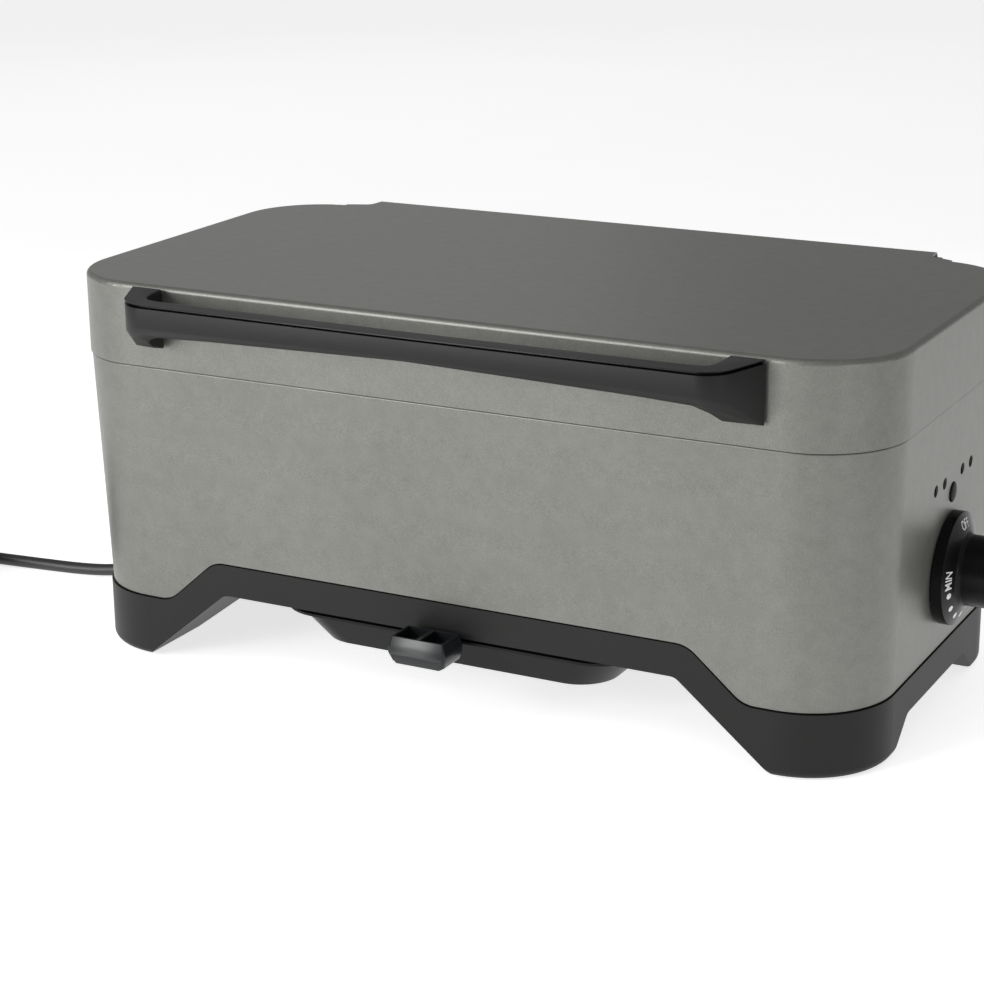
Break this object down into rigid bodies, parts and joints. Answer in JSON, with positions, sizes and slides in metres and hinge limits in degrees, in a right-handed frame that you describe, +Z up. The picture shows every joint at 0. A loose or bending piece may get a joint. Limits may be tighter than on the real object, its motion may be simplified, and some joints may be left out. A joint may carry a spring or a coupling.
{
  "type": "electric grill",
  "caption": "Table-top electric grill with a hinged metal lid and full-width handle, ribbed plate, tube heater, drip drawer, dial regulator and mains cord.",
  "frame": {"origin": "bottom centre of the whole grill's box, without the free cord, on the surface it stands on", "axes": "+X towards the end with the dial, +Y towards the hinge at the back, +Z up"},
  "size_m": [0.8348, 0.3256, 0.237],
  "materials": {
    "grey_metal": "fine satin texture paint",
    "black_plastic": "matt, fine grain",
    "black_plastic_gloss": "gloss",
    "dial_plastic": "satin",
    "dark_plastic": "matt",
    "black_metal": "satin",
    "rubber": "matt",
    "cord_jacket": "satin",
    "pan_steel": "satin",
    "tray_enamel": "black enamel, satin",
    "heater_steel": "oxidised",
    "screw_steel": "bright",
    "ceramic": "matt",
    "plate_coat": "dark non-stick coat",
    "lens_plastic": "clear red, dark when off",
    "brass_nickel": "nickel plated",
    "lead_brown": "satin",
    "lead_black": "satin",
    "lead_blue": "satin"
  },
  "bodies": {
    "housing": {"base_frame": "black_plastic", "foot_pads": "rubber", "body_shell": "grey_metal", "inner_pan": "pan_steel", "rim_screws": "screw_steel", "heating_element": "heater_steel", "heater_supports": "pan_steel", "heater_bushes": "ceramic", "heater_terminals": "screw_steel", "drain_spout": "pan_steel", "heat_shield": "pan_steel", "pan_studs": "screw_steel", "stud_spacers": "screw_steel", "stud_nuts": "screw_steel", "regulator": "dark_plastic", "regulator_screws": "screw_steel", "pilot_lens": "lens_plastic", "lamp_holder": "dark_plastic", "tray_rail_left": "pan_steel", "tray_rail_right": "pan_steel", "rail_screws": "screw_steel", "lid_buffers": "rubber", "hinge_bracket_left": "black_metal", "hinge_bracket_right": "black_metal", "hinge_pins": "screw_steel", "bracket_screws": "screw_steel", "cord_gland": "rubber", "power_cord": "cord_jacket", "cord_coil": "cord_jacket", "cord_tail": "cord_jacket", "coil_tie": "dark_plastic", "plug_body": "rubber", "plug_pins": "brass_nickel", "terminal_block": "dark_plastic", "block_screws": "screw_steel", "live_lead": "lead_brown", "switched_lead": "lead_black", "neutral_lead": "lead_blue"},
    "lid": {"lid_shell": "grey_metal", "lid_handle": "black_plastic", "handle_screws": "screw_steel", "hinge_leaf_left": "grey_metal", "hinge_leaf_right": "grey_metal"},
    "drawer": {"drip_tray": "tray_enamel", "tray_grip": "black_plastic_gloss", "grip_screws": "screw_steel"},
    "dial": {"control_dial": "dial_plastic", "regulator_shaft": "screw_steel"},
    "plate": {"grill_plate": "plate_coat"}
  },
  "joints": [
    {"name": "lid_hinge", "type": "hinge", "parent": "housing", "child": "lid", "pos_m": [-0.015, 0.1518, 0.2298], "axis": [-1, 0, 0], "range_deg": [0, 100]},
    {"name": "drip_tray_slide", "type": "slide", "parent": "housing", "child": "drawer", "axis": [0, -1, 0], "range_m": [0, 0.19]},
    {"name": "dial_turn", "type": "hinge", "parent": "housing", "child": "dial", "pos_m": [0.26, 0.0138, 0.087], "axis": [-1, 0, 0], "range_deg": [0, 270]},
    {"name": "grill_plate_lift", "type": "slide", "parent": "housing", "child": "plate", "axis": [0, 0, 1], "range_m": [0, 0.03]}
  ]
}
